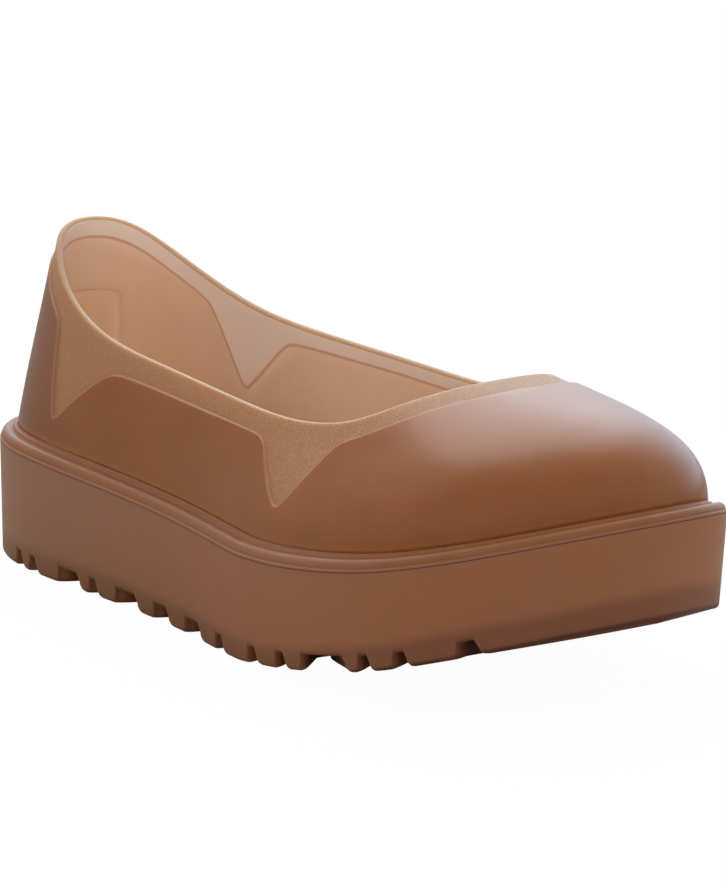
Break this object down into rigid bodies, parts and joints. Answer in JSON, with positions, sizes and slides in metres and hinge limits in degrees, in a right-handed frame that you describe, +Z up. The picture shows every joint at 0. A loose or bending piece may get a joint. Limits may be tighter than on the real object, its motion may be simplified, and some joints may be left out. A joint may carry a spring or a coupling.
{
  "type": "rubber overshoe",
  "caption": "Low moulded rubber overshoe for a right foot: thin open-topped upper with raised panels, welt, and a deep lugged outsole.",
  "frame": {"origin": "on the floor under the middle of the outsole", "axes": "+X to the toe, +Y to the medial side, +Z up"},
  "size_m": [0.29, 0.1158, 0.1008],
  "materials": {
    "upper_rubber": "translucent tan rubber, satin panels and a frosted band under the rim",
    "welt_rubber": "translucent tan rubber, satin",
    "outsole_rubber": "tan rubber, matt, darker where it is solid"
  },
  "bodies": {
    "root": {"upper": "upper_rubber", "welt": "welt_rubber", "outsole": "outsole_rubber"}
  },
  "joints": []
}
